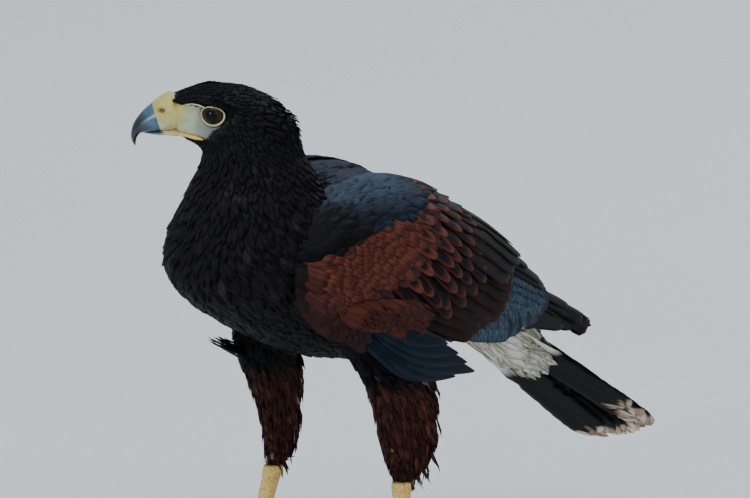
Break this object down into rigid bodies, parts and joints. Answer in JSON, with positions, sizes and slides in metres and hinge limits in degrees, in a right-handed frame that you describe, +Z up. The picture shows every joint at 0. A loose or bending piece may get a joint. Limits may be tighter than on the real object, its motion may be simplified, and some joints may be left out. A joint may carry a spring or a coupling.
{
  "type": "harris hawk",
  "caption": "Life-size Harris hawk standing on both feet with folded wings, its head turned to its right over a dark breast, chestnut shoulders and trousers, and a black tail.",
  "frame": {"origin": "on the floor under the middle of the hawk's box", "axes": "+Z up, the hawk faces -Y, +X is its left"},
  "size_m": [0.1548, 0.3818, 0.3234],
  "materials": {
    "dark_plumage": "near-black brown body feathers with a faint blue sheen",
    "wing_feathers": "chestnut shoulder feathers, slate-blue flight feathers",
    "tail_feathers": "black feathers, white at the root and the tip",
    "trouser_plumage": "dark chestnut leg feathers",
    "cere_skin": "smooth yellow skin",
    "leg_skin": "yellow scaled skin",
    "bill_horn": "slate-blue horn, black at the hook",
    "claw_horn": "black horn",
    "eye": "wet dark brown eye"
  },
  "bodies": {
    "root": {"bill_lower": "bill_horn", "bill_upper": "bill_horn", "cere": "cere_skin", "claw_left_hind": "claw_horn", "claw_left_inner": "claw_horn", "claw_left_middle": "claw_horn", "claw_left_outer": "claw_horn", "claw_right_hind": "claw_horn", "claw_right_inner": "claw_horn", "claw_right_middle": "claw_horn", "claw_right_outer": "claw_horn", "eye_left": "eye", "eye_right": "eye", "foot_left": "leg_skin", "foot_right": "leg_skin", "head": "dark_plumage", "neck": "dark_plumage", "shank_left": "leg_skin", "shank_right": "leg_skin", "tail": "tail_feathers", "thigh_left": "trouser_plumage", "thigh_right": "trouser_plumage", "torso": "dark_plumage", "wing_left": "wing_feathers", "wing_right": "wing_feathers"}
  },
  "joints": []
}
